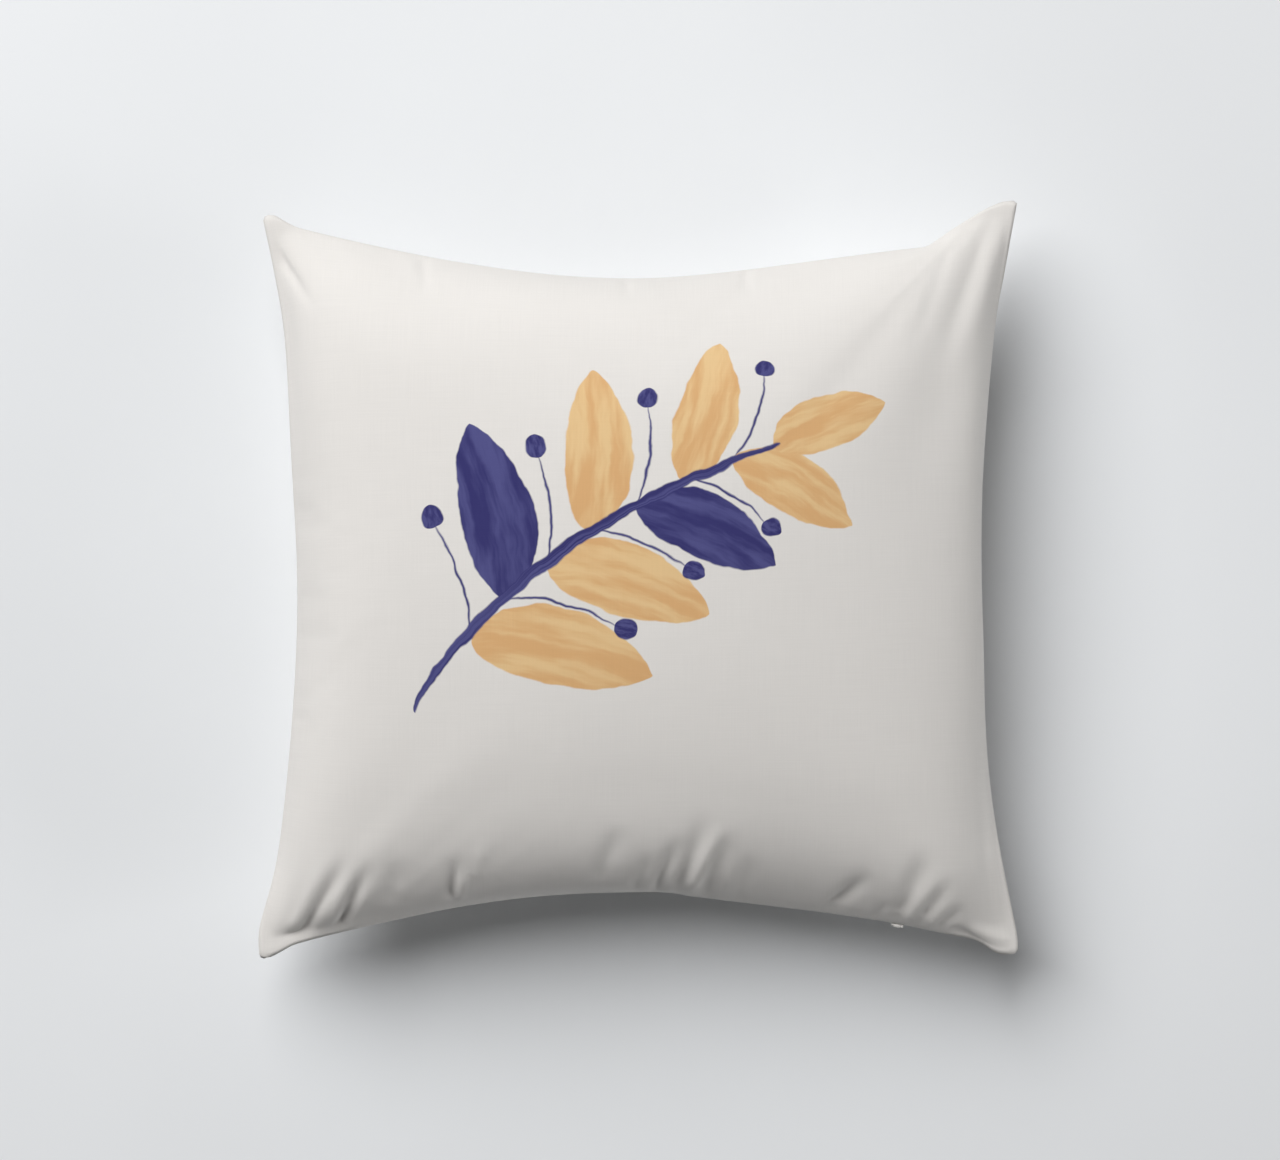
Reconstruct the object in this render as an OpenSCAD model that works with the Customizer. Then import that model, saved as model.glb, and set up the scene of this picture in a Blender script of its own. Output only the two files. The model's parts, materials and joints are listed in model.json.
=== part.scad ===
// Square scatter cushion lying on its back: a sewn cover with a concealed zip
// in its lower seam, and a stuffed insert inside it.
// Millimetres. X runs to the right, Y to the top edge and Z up, away from the
// surface that the cushion lies on. The origin is on that surface, under the middle.

/* [Cover] */
// Width of the filled cover from corner to corner
cover_w = 440; // [400:5:500]
// Height of the filled cover from corner to corner
cover_h = 440; // [400:5:500]
// How far the left and right edges draw in at their middle
side_draw = 20; // [14:1:26]
// How far the top edge draws in at its middle
top_draw = 43; // [25:1:50]
// How far the zip edge draws in at its middle
zip_draw = 40; // [28:1:46]
// Height of the front's crown above the seam
front_crown = 71; // [62:1:90]
// Height of the seam above the surface that the cushion lies on
seam_h = 64; // [55:1:80]
// Width of the patch that lies flat on that surface
rest_w = 140; // [100:5:180]
// Height at which the back starts to ease onto that surface
rest_ease = 4; // [2:0.5:6]
// How round the crown is: a lower value gives a flatter top and steeper sides
roundness = 1; // [0.85:0.05:1.1]
// Thickness of the cover's cloth
cover_t = 0.8; // [0.6:0.1:1]
// Width of the cover's seam allowance, turned inside
hem_w = 10; // [8:0.5:12]
// Radius of the sewing thread
thread_r = 0.3; // [0.2:0.05:0.4]
// Distance of the stitches from the seam's edge
stitch_in = 2; // [1.5:0.25:4]

/* [Zip] */
// How far each end of the zip lies from the cover's corner
zip_end = 60; // [55:1:110]
// How steeply the allowance and its tape stand behind the zip opening, in degrees
hem_tilt = 50; // [46:1:54]
// Width of each tape
tape_w = 9; // [7:0.5:10]
// Thickness of each tape
tape_t = 0.5; // [0.4:0.1:0.7]
// How far each tape runs on past the stops
tape_tail = 4; // [2:0.5:5]
// Height of each coil, across the zip
coil_w = 1.7; // [1.4:0.1:2]
// Depth of each coil, into the cover
coil_d = 2.2; // [1.8:0.1:2.6]
// Length of each end stop
stop_l = 3; // [2:0.5:5]

/* [Slider] */
// Length of the slider along the zip
slider_l = 9; // [8:0.5:12]
// Wall thickness of the slider
slider_t = 1.2; // [1:0.1:1.6]
// Thickness of the neck that passes out between the two edges
neck_t = 0.8; // [0.6:0.1:1]
// Radius of the bar that the pull hangs on
bar_r = 0.6; // [0.5:0.05:0.8]
// Width of the pull's eye along the bar
eye_w = 3.6; // [3:0.2:5]
// Wall of the pull's eye round the bar
eye_t = 0.55; // [0.5:0.05:0.8]
// Length of the pull below the bar
pull_l = 18; // [14:1:24]
// Width of the pull at its round end
pull_w = 5; // [4:0.5:7]
// Thickness of the pull
pull_t = 1; // [0.8:0.1:1.4]

/* [Insert] */
// How far the insert's seam lies inside the cover's, at the middle of an edge
insert_in = 16; // [14:1:19]
// Thickness of the insert's cloth
insert_t = 0.6; // [0.4:0.1:0.8]
// Width of the insert's seam allowance
insert_hem = 8; // [6:0.5:10]
// Gap between the insert and the cover at the crown and at the rest
insert_gap = 0.8; // [0.7:0.05:0.9]
// Gap between the filling and the insert's cloth
fill_gap = 0.8; // [0.7:0.05:0.9]
// Height of the filling's blunt edge, above and below the seam
fill_edge = 3; // [2:0.5:5]

/* [Clearances] */
// Gap between the neck and each folded edge of the cover
neck_clear = 0.4; // [0.3:0.05:0.5]
// Gap between the slider and what it runs along
run_clear = 0.4; // [0.3:0.05:0.5]
// Gap between the bar and the pull's eye
eye_clear = 0.05; // [0.03:0.01:0.08]
// Gap between each tape and the allowance that it is sewn to
tape_gap = 0.15; // [0.1:0.05:0.2]
// Gap between the pull's eye and the seam
pull_clear = 0.7; // [0.6:0.05:0.9]

/* [Hidden] */

// Steps up the cover, and across and up the insert and the filling
cover_steps = 18;
insert_steps = 14;
// Steps across the cover: along the zip, and along the sewn seam on each side of it
zip_steps = 10;
sewn_steps = 3;
// Facets in a full turn of the zip's wide arc
arc_facets = 1440;
// How much further a corner moves in than an edge does, where both keep an even margin
corner_in = 1.4;
// Length over which the zip opening closes into the sewn seam, past the tapes
zip_fade = 15;
// Facets of round pieces
$fn = 48;

white = [0.89, 0.87, 0.85];
lining = [0.93, 0.93, 0.92];
thread_white = [0.95, 0.94, 0.92];
zip_white = [0.86, 0.85, 0.83];
fibre = [0.97, 0.97, 0.97];

// Part of the plan's outline

function arc_radius(half, draw) = (half * half + draw * draw) / (2 * draw);

// How far an edge that is an arc lies in from its corners' line, t away from its middle
function arc_in(t, half, draw) =
    let (r = arc_radius(half, draw))
    sqrt(r * r - t * t) - (r - draw);

// A place on the plan for a and b from -90 to 90 degrees across and up the cushion,
// with the outline moved in by margin at the edges' middles
function plan(a, b, margin) =
    let (u = sin(a), v = sin(b),
         corner = corner_in * margin,
         half_w = cover_w / 2 - corner,
         half_h = cover_h / 2 - corner,
         side = side_draw + margin - corner,
         end = (v > 0 ? top_draw : zip_draw) + margin - corner)
    [u * (half_w - arc_in(v * half_h, half_h, side)),
     v * (half_h - arc_in(u * half_w, half_w, end))];

// Height of the cloth as a share of its crown: zero all along the seam, one in the middle
function crown(a, b) = pow(max(0, cos(a) * cos(b)), roundness);

// The same for the back, which eases onto the surface and lies flat in its middle
rest_half = rest_w / 2 / (cover_w / 2 - side_draw);
rest_crown = pow(sqrt(1 - rest_half * rest_half), roundness);
function settled(a, b) =
    let (drop = (seam_h + rest_ease) * (1 - crown(a, b) / rest_crown),
         height = drop > 2 * rest_ease ? drop - rest_ease
                : drop > 0 ? drop * drop / (4 * rest_ease)
                : 0)
    1 - height / seam_h;

function rise(side, a, b) = side > 0 ? crown(a, b) : settled(a, b);

// The zip's arc: its radius, its centre in front of the cushion, and its opening

zip_len = cover_w - 2 * zip_end;
zip_r = arc_radius(cover_w / 2, zip_draw);
zip_y = zip_draw - cover_h / 2 - zip_r;
zip_gap = neck_t + 2 * neck_clear;
coil_gap = neck_t + 2 * run_clear;

function zip_angle(s) = s / zip_r * 180 / PI;

// Where the opening starts to close, and where it is sewn shut, as angles across the cushion
open_angle = asin((zip_len / 2 + tape_tail) / (cover_w / 2));
sewn_angle = asin((zip_len / 2 + tape_tail + zip_fade) / (cover_w / 2));

// One along the zip's opening and zero where its two edges are sewn together
function zip_share(a, b) =
    b > -90 ? 0
    : min(1, max(0, (sewn_angle - abs(a)) / (sewn_angle - open_angle)));

// A place on the plan that lies depth inside the zip edge, straight across the zip
function across_zip(a, depth) =
    let (edge = plan(a, -90, 0), centre = [0, zip_y])
    centre + (edge - centre) * (zip_r + depth) / zip_r;

// A place on the allowance, along it from the seam and up through it
function hem_point(side, a, b, zip, margin, along, up) =
    let (share = zip ? zip_share(a, b) : 0,
         tilt = hem_tilt * share,
         depth = along * cos(tilt) - up * sin(tilt),
         height = along * sin(tilt) + up * cos(tilt) + share * zip_gap / 2,
         flat = plan(a, b, margin + depth),
         open = share > 0 ? across_zip(a, depth) : flat,
         xy = flat * (1 - share) + open * share)
    [xy[0], xy[1], seam_h + side * height];

// Meshes of cloth on a grid of columns, angles across the cushion, and rows, angles up it

function spread(from, to, steps) = [for (k = [0:steps]) from + (to - from) * k / steps];

// The cover's columns meet the places where the zip's opening starts and ends
cover_columns = concat(
    spread(-90, -sewn_angle, sewn_steps),
    spread(-open_angle, open_angle, zip_steps),
    spread(sewn_angle, 90, sewn_steps)
);
cover_rows = spread(-90, 90, cover_steps);
insert_rows = spread(-90, 90, insert_steps);

function grid(columns, rows) = [for (b = rows, a = columns) [a, b]];

// The grid's outer places in order, from the zip edge's left end round to the right
function border(columns, rows) =
    let (right = len(columns) - 1,
         wide = len(columns),
         top = len(rows) - 1)
    [for (i = [0:right - 1]) i,
     for (j = [0:top - 1]) right + j * wide,
     for (i = [right:-1:1]) i + top * wide,
     for (j = [top:-1:1]) j * wide];

function grid_faces(columns, rows, first) =
    let (wide = len(columns))
    [for (j = [0:len(rows) - 2], i = [0:wide - 2])
        let (p = first + i + j * wide,
             q = p + 1,
             r = p + wide,
             s = r + 1)
        each [[p, r, s], [p, s, q]]];

// Faces of the strip between two closed rows of points
function strip(upper, lower) = [
    for (k = [0:len(upper) - 1])
        let (n = (k + 1) % len(upper))
        each [[upper[k], upper[n], lower[n]], [upper[k], lower[n], lower[k]]]
];

function row(first, count) = [for (k = [0:count - 1]) first + k];

function shifted(list, by) = [for (k = list) k + by];

function turned(faces) = [for (f = faces) [f[2], f[1], f[0]]];

// Cloth at its outer or inner face, from its height at the seam to its height at the crown
function cloth(side, columns, rows, margin, zip, foot, top) = [
    for (g = grid(columns, rows))
        let (opened = zip ? zip_share(g[0], g[1]) * zip_gap / 2 : 0,
             height = opened + foot + (top - foot) * rise(side, g[0], g[1]))
        [each plan(g[0], g[1], margin), seam_h + side * height]
];

// One crowned panel of a sewn case: the cloth, its fold at the seam and its allowance
module panel(side, columns, rows, margin, top, cloth_t, hem, zip) {
    count = len(columns) * len(rows);
    edge = border(columns, rows);
    angles = [for (k = edge) grid(columns, rows)[k]];
    fold = 2 * cloth_t;
    outer = cloth(side, columns, rows, margin, zip, fold, top);
    inner = cloth(side, columns, rows, margin + cloth_t, zip, cloth_t, top - cloth_t);
    seam = [for (g = angles) hem_point(side, g[0], g[1], zip, margin, 0, 0)];
    hem_under = [for (g = angles) hem_point(side, g[0], g[1], zip, margin, hem, 0)];
    hem_over = [for (g = angles) hem_point(side, g[0], g[1], zip, margin, hem, cloth_t)];
    inner_edge = shifted(edge, count);
    seam_row = row(2 * count, len(edge));
    under_row = shifted(seam_row, len(edge));
    over_row = shifted(under_row, len(edge));
    faces = concat(
        grid_faces(columns, rows, 0),
        turned(grid_faces(columns, rows, count)),
        strip(edge, seam_row),
        strip(seam_row, under_row),
        strip(under_row, over_row),
        strip(over_row, inner_edge)
    );
    polyhedron(
        concat(outer, inner, seam, hem_under, hem_over),
        side > 0 ? faces : turned(faces)
    );
}

// Thread of four sides along a path that stays level
module thread(path, r) {
    last = len(path) - 1;
    function along(k) = path[min(k + 1, last)] - path[max(k - 1, 0)];
    function across(k) = let (d = along(k)) [-d[1], d[0], 0] / norm(d);
    up = [0, 0, 1];
    points = [
        for (k = [0:last], q = [across(k), up, -across(k), -up]) path[k] + r * q
    ];
    walls = [
        for (k = [0:last - 1], q = [0:3])
            let (a = 4 * k + q,
                 b = 4 * k + (q + 1) % 4)
            each [[a, b, b + 4], [a, b + 4, a + 4]]
    ];
    ends = [[0, 3, 2], [0, 2, 1],
            [4 * last, 4 * last + 1, 4 * last + 2], [4 * last, 4 * last + 2, 4 * last + 3]];
    polyhedron(points, concat(walls, ends));
}

// Stitches lie half sunk into the allowance, round the seam from one place on its border
// to another
function stitch_path(side, columns, rows, margin, cloth_t, first, last) =
    let (edge = border(columns, rows))
    [for (k = [first:last])
        let (g = grid(columns, rows)[edge[k % len(edge)]])
        [each plan(g[0], g[1], margin + stitch_in), seam_h + side * cloth_t]];

// Cover

module front_panel() {
    color(white)
        panel(1, cover_columns, cover_rows, 0, front_crown, cover_t, hem_w, true);
}

module back_panel() {
    color(white)
        panel(-1, cover_columns, cover_rows, 0, seam_h, cover_t, hem_w, true);
}

// Needle thread on the front's allowance and bobbin thread on the back's,
// round the seam from one end of the zip to the other
module seam_thread() {
    right_end = len(cover_columns) - 1 - sewn_steps;
    left_end = len(border(cover_columns, cover_rows)) + sewn_steps;
    color(thread_white)
        for (side = [1, -1])
            thread(stitch_path(side, cover_columns, cover_rows, 0, cover_t, right_end, left_end),
                   thread_r);
}

// Zip: sections are drawn with X as the depth behind the seam and Y as the height above it

tape_face = tape_gap + tape_t;
coil_low = coil_gap / 2;
coil_high = coil_low + coil_w;

// A place along the allowance's face behind the zip, and off that face
function tape_point(along, off) = [
    along * cos(hem_tilt) + off * sin(hem_tilt),
    zip_gap / 2 + along * sin(hem_tilt) - off * cos(hem_tilt)
];

// Where the tape's inner face reaches a height above the seam
function tape_along(height) =
    (height - zip_gap / 2 + tape_face * cos(hem_tilt)) / sin(hem_tilt);

coil_top = tape_point(tape_along(coil_high), tape_face);
coil_foot = tape_point(tape_along(coil_low), tape_face);
coil_back = coil_foot[0] + coil_d;

// Sweeps a section along the zip between two places, measured along it from its middle
module along_zip(from, to) {
    translate([0, zip_y, seam_h])
        rotate([0, 0, 90 - zip_angle(to)])
            rotate_extrude(angle = zip_angle(to - from), $fn = arc_facets)
                translate([zip_r, 0])
                    children();
}

// Puts a piece at a place along the zip: X along it, Y into the cover, Z up
module at_zip(s) {
    translate([0, zip_y, seam_h])
        rotate([0, 0, -zip_angle(s)])
            translate([0, zip_r, 0])
                children();
}

// Draws a section once, or as its mirror image below the seam
module on_side(side) {
    mirror([0, side > 0 ? 0 : 1])
        children();
}

module tape(side) {
    half = zip_len / 2 + tape_tail;
    foot = tape_along(coil_low);
    color(zip_white)
        along_zip(-half, half)
            on_side(side)
                polygon([tape_point(foot, tape_gap), tape_point(foot + tape_w, tape_gap),
                         tape_point(foot + tape_w, tape_face), tape_point(foot, tape_face)]);
}

module coil_section() {
    polygon([coil_foot, [coil_back, coil_low], [coil_back, coil_high], coil_top]);
}

module coil(side) {
    half = zip_len / 2 - stop_l;
    color(zip_white)
        along_zip(-half, half)
            on_side(side)
                coil_section();
}

module zip_tape_front() {
    tape(1);
}

module zip_tape_back() {
    tape(-1);
}

module zip_coil_front() {
    coil(1);
}

module zip_coil_back() {
    coil(-1);
}

// A stop clamps both coils' ends and closes the gap between them
module stop(from) {
    color(zip_white)
        along_zip(from, from + stop_l)
            polygon([coil_foot, coil_top, [coil_back, coil_high],
                     [coil_back, -coil_high], [coil_top[0], -coil_top[1]],
                     [coil_foot[0], -coil_foot[1]]]);
}

module zip_closed_stop() {
    stop(zip_len / 2 - stop_l);
}

module zip_open_stop() {
    stop(-zip_len / 2);
}

// The stitches that hold each tape, on its inner face two thirds of the way up
module zip_thread() {
    half = zip_len / 2 + tape_tail;
    up = tape_along(coil_low) + tape_w * 2 / 3;
    color(thread_white)
        for (side = [1, -1])
            along_zip(-half, half)
                on_side(side)
                    polygon([tape_point(up, tape_face), tape_point(up + 2 * thread_r, tape_face),
                             tape_point(up + 2 * thread_r, tape_face + thread_r),
                             tape_point(up, tape_face + thread_r)]);
}

// Slider: a plate behind the coils with a hook round each, and a neck that passes
// out between the coils and the cover's edges to the bar

slider_at = zip_len / 2 - stop_l - run_clear - slider_l / 2;
plate_front = coil_back + run_clear;
plate_back = plate_front + slider_t;
hook_low = coil_high + run_clear;
hook_high = hook_low + slider_t;
hook_front = tape_point(tape_along(hook_high), tape_face)[0] + run_clear;
eye_r = bar_r + eye_clear + eye_t;
bar_out = eye_r + pull_clear;
neck_l = eye_w + 2 * run_clear + 2 * slider_t;
neck_front = bar_out - eye_r - run_clear;

module zip_slider() {
    color(zip_white) {
        along_zip(slider_at - slider_l / 2, slider_at + slider_l / 2)
            polygon([[hook_front, hook_high], [plate_back, hook_high],
                     [plate_back, -hook_high], [hook_front, -hook_high],
                     [hook_front, -hook_low], [plate_front, -hook_low],
                     [plate_front, hook_low], [hook_front, hook_low]]);
        along_zip(slider_at - neck_l / 2, slider_at + neck_l / 2)
            translate([-neck_front, -neck_t / 2])
                square([neck_front + plate_front + slider_t / 2, neck_t]);
        at_zip(slider_at) {
            for (end = [-1, 1])
                translate([end * (neck_l - slider_t) / 2 - slider_t / 2, -bar_out, -neck_t / 2])
                    cube([slider_t, bar_out - neck_front / 2, neck_t]);
            translate([-neck_l / 2, -bar_out, 0])
                rotate([0, 90, 0])
                    cylinder(r = bar_r, h = neck_l);
        }
    }
}

module zip_pull() {
    color(zip_white)
        at_zip(slider_at)
            translate([0, -bar_out, 0])
                difference() {
                    union() {
                        translate([-eye_w / 2, 0, 0])
                            rotate([0, 90, 0])
                                cylinder(r = eye_r, h = eye_w);
                        rotate([90, 0, 0])
                            linear_extrude(pull_t, center = true)
                                pull_outline();
                    }
                    translate([-eye_w, 0, 0])
                        rotate([0, 90, 0])
                            cylinder(r = bar_r + eye_clear, h = 2 * eye_w);
                }
}

// A drop that widens from the eye to a round end
module pull_outline() {
    round_y = pull_w / 2 - pull_l;
    polygon([[-eye_w / 2, 0], [eye_w / 2, 0], [eye_w / 2, -eye_r],
             [pull_w / 2, round_y], [-pull_w / 2, round_y], [-eye_w / 2, -eye_r]]);
    translate([0, round_y])
        circle(r = pull_w / 2);
}

// Insert: a plain sewn case that fills the cover, and its loose fibre

insert_front_top = front_crown - cover_t - insert_gap;
insert_back_top = seam_h - cover_t - insert_gap;
fill_in = insert_in + insert_hem + fill_gap;

module insert_front() {
    color(lining)
        panel(1, insert_rows, insert_rows, insert_in, insert_front_top, insert_t, insert_hem,
              false);
}

module insert_back() {
    color(lining)
        panel(-1, insert_rows, insert_rows, insert_in, insert_back_top, insert_t, insert_hem,
              false);
}

module insert_thread() {
    around = len(border(insert_rows, insert_rows));
    color(thread_white)
        thread(stitch_path(1, insert_rows, insert_rows, insert_in, insert_t, 0, around), thread_r);
}

module filling() {
    count = len(insert_rows) * len(insert_rows);
    edge = border(insert_rows, insert_rows);
    points = [
        for (side = [1, -1])
            let (top = (side > 0 ? insert_front_top : insert_back_top) - insert_t - fill_gap)
            each cloth(side, insert_rows, insert_rows, fill_in, false, fill_edge, top)
    ];
    color(fibre)
        polyhedron(points, concat(
            grid_faces(insert_rows, insert_rows, 0),
            turned(grid_faces(insert_rows, insert_rows, count)),
            strip(edge, shifted(edge, count))
        ));
}

front_panel();
back_panel();
seam_thread();
zip_tape_front();
zip_tape_back();
zip_coil_front();
zip_coil_back();
zip_closed_stop();
zip_open_stop();
zip_thread();
zip_slider();
zip_pull();
insert_front();
insert_back();
insert_thread();
filling();
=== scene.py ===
"""Scatter cushion: a printed, filled cover with a concealed zip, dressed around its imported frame.

Everything is in metres and in the frame's own axes: X to the right, Y to the top edge and Z up,
away from the surface that the cushion lies on.
"""
import json
import math

import bpy
import numpy as np
from bpy.props import FloatProperty, FloatVectorProperty, IntProperty, PointerProperty
from bpy.types import Operator, Panel, PropertyGroup
from mathutils import Matrix, Vector


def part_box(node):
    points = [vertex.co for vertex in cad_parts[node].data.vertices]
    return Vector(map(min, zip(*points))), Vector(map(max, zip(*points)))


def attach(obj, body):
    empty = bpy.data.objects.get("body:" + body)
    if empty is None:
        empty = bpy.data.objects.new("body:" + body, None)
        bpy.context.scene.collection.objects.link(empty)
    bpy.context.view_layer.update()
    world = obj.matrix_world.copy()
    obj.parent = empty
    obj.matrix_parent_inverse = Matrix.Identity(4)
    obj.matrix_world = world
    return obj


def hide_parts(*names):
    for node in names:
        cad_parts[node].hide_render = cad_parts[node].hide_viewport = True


bl_info = {
    "name": "Scatter Cushion",
    "version": (1, 0, 0),
    "blender": (4, 5, 0),
    "location": "3D View > Sidebar > Cushion",
    "description": "Builds a filled scatter cushion with a printed cover and a concealed zip",
    "category": "Object",
}

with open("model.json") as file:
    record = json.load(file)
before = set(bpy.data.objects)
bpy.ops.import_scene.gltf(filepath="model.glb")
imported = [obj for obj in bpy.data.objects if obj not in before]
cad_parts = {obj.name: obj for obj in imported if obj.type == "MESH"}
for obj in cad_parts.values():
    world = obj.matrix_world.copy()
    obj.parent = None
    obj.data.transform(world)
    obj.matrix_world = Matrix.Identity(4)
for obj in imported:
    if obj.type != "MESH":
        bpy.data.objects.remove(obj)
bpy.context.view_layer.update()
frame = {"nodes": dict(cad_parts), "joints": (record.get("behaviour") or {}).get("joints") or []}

MM = 0.001
JOINTS = {joint["name"]: joint for joint in frame["joints"]}
ZIP_CENTRE = Vector(JOINTS["zip_run"]["pos_m"])
PULL_BAR = Vector(JOINTS["pull_swing"]["pos_m"])
PULL_AXIS = Vector(JOINTS["pull_swing"]["axis"])
SEAM_H = ZIP_CENTRE.z
ZIP_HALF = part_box("zip_tape_front")[1].x
ALLOWANCE_TILT = math.radians(50)
# Depth of a coil and sizes of the pull, as their nodes have them
COIL_DEPTH = 2.2 * MM
PULL_W = 5 * MM
PULL_T = 1 * MM
EYE_W = 3.6 * MM
EYE_T = 0.55 * MM
# Width of flat cloth that one unit of its UV map spans
CLOTH_SPAN = 0.5
# The flat panels at the start: their rise in the middle, and how uneven they lie
PUFF = 12 * MM
UNEVEN = 0.15 * MM
# The simulated cloth: cotton that gives on the bias, and the pressure that fills it
COTTON = {
    "quality": 6, "mass": 0.05, "pin_stiffness": 1,
    "tension_stiffness": 100, "compression_stiffness": 100,
    "shear_stiffness": 1, "bending_stiffness": 0.5,
    "tension_damping": 20, "compression_damping": 20,
    "shear_damping": 10, "bending_damping": 0.5,
    "use_pressure": True, "uniform_pressure_force": 2,
    "use_pressure_volume": True, "pressure_factor": 5,
}
# Share of the simulation's small ripples that stays, and the least that is stroked out either way
RIPPLES = 0.1
STROKE = 0.15
# Width along the seam over which the folds fade out, and the shares of a fold's run over which it
# starts and ends
FOLD_FADE = 7 * MM
FOLD_START = (-0.05, 0.2)
FOLD_END = (0.5, 1.1)
# The zip edge lies below this, and its slit closes over this run past the zip's ends
ZIP_BELOW = -0.15
SLIT_FADE = 15 * MM
# A panel's rise off its seam: the run that it takes over the folded cloth, and the width of the
# allowance that it clears along the zip
RISE_RUN = 1.2 * MM
STAND_W = 8.5 * MM
# How a panel rolls out over the zip: room to spare, the band along the zip that it is measured in,
# its reach along the zip in cells, and where it grows and fades
ROLL_SPARE = 1.5 * MM
ROLL_BAND = 9 * MM
ROLL_REACH = 6
ROLL_GROW = (-2 * MM, 6 * MM)
ROLL_FADE = (10 * MM, 70 * MM)
# Step of the flat places from one row of a panel's folded edge to the next
ROW_STEP = 0.012
# Places along one stitch, and how far the thread rises or dips there, in thread radii
STITCH_PLACES = (0.04, 0.2, 0.8, 0.96)
STITCH_DIPS = (-1, 0.4, 0.4, -1)
# Distance from the middle to an edge, on average
HALF_SPAN = 0.21
# Half the gap between two sewn panels, of the cover and of the insert's case
SEAM_GAP = 0.03 * MM
CASE_GAP = 0.05 * MM
# Where the case's stitches run, as a share of the way out to its edge
CASE_STITCHES = 0.985
# Directions of the softbox and of the bounce card, and the backdrop's strength where it is seen
LIGHT_FROM = Vector((-37, 52, 77))
CARD_FROM = Vector((88, -18, 28))
BACKDROP = 0.85

# The seam's outline in millimetres, each edge from left to right or from bottom to top.
# The zip edge keeps to the zip's own arc at both ends of the slider's run.
TOP_EDGE = (
    (-219.2, 210.8), (-218, 213.6), (-214, 213.9), (-208, 211), (-197, 206), (-150, 195),
    (-103, 186), (-50, 179), (0, 177), (50, 180.5), (118, 189.3), (150, 193.4), (166, 195.4),
    (171, 197.8), (183, 206), (201, 217), (211, 221.2), (217.6, 222.4), (219.9, 220.6),
)
ZIP_EDGE = (
    (-221.6, -216.6), (-220.1, -219.6), (-217, -219), (-210, -216), (-197, -210), (-150, -198.6),
    (-100, -188.4), (-50, -182.4), (8, -180.6), (30, -183), (54, -186), (107, -192.5),
    (150, -199), (180, -205.5), (196, -209), (208, -216.4), (214, -217.7), (219.5, -217.5),
    (221.1, -215.2),
)
LEFT_EDGE = (
    (-221.6, -216.6), (-221.9, -208), (-220.6, -198), (-211, -160), (-204, -100), (-200, -40),
    (-199.6, 10), (-203, 75), (-206.5, 140), (-212, 176), (-219.2, 210.8),
)
RIGHT_EDGE = (
    (221.1, -215.2), (220.3, -204), (209, -150), (202.5, -98), (200.2, -30), (199.2, 24),
    (201, 77), (207, 147), (213, 182), (219.9, 220.6),
)

# The corner that droops, how far it does, and how far from its tip that starts
DROOP_AT = (221 * MM, -216 * MM)
DROOP = 9 * MM
DROOP_SPAN = 62 * MM

# Folds of the front in millimetres: from the seam inwards, then half width, and height or depth
FOLDS = (
    # Lower left corner
    (-234, -217, -190, -205, 4.0, -3.6),
    (-205, -207, -174, -154, 4.8, 1.1),
    (-198, -208, -168, -158, 4.8, -3.3),
    (-181, -204, -162, -160, 3.4, 0.7),
    (-175, -205, -156, -162, 4.2, -3.0),
    (-168, -203, -152, -168, 3.0, 0.8),
    (-216, -212, -128, -190, 8.0, -2.4),
    (-146, -188, -138, -158, 6.0, -1.5),
    # Left part of the zip edge
    (-109, -185, -106, -158, 3.4, -2.2),
    (-104, -184, -100, -164, 2.8, 1.8),
    (-94, -172, -90, -148, 3.4, 0.9),
    # Middle of the zip edge
    (-25, -174, -11, -140, 5.4, -1.7),
    (-4, -179, 8, -156, 4.2, -1.5),
    (9, -181, 22, -147, 4.0, -2.8),
    (22, -180, 37, -134, 4.4, -2.1),
    (29, -180, 47, -139, 3.2, 2.2),
    (37, -183, 52, -145, 5.6, -2.1),
    (57, -186, 65, -158, 5.0, -1.0),
    # Right part of the zip edge
    (107, -192, 133, -168, 4.6, -3.0),
    (134, -197, 144, -185, 2.8, -1.5),
    (148, -198, 166, -155, 5.8, -2.4),
    (154, -199, 174, -166, 3.6, 0.9),
    (159, -201, 181, -172, 3.6, -2.0),
    (166, -202, 183, -182, 2.6, 0.6),
    (172, -202, 189, -188, 3.2, -1.8),
    # Lower right corner
    (180, -202, 202, -209.5, 3.2, -2.4),
    (189, -202, 228, -215, 4.8, 2.3),
    # Upper corners and the small puckers of the other edges
    (-223, 210, -187, 156, 2.4, -2.0),
    (180, 194, 156, 132, 4.5, -0.9),
    (203, 206, 174, 129, 4.5, -0.8),
    (213, 214, 180, 112, 7.2, 2.2),
    (-127, 191, -122, 163, 4.0, -0.8),
    (-8, 178, -7, 162, 3.2, -0.8),
    (62, 183, 60, 166, 3.2, -0.8),
    (-201, 42, -187, 40, 4.0, -0.45),
    (-204, -80, -190, -78, 4.0, -0.45),
)


# Settings


def real(name, about, default, low, high, **kind):
    """A setting with a range."""
    return FloatProperty(
        name=name, description=about, default=default, min=low, max=high, **kind)


def metres(name, about, default, low, high):
    """A length in metres, with a range."""
    return real(name, about, default, low, high, unit="LENGTH")


def whole(name, about, default, low, high):
    """A whole number with a range."""
    return IntProperty(name=name, description=about, default=default, min=low, max=high)


def tint(name, about, default):
    """A colour."""
    return FloatVectorProperty(
        name=name, description=about, default=default, subtype="COLOR", min=0, max=1)


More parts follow.
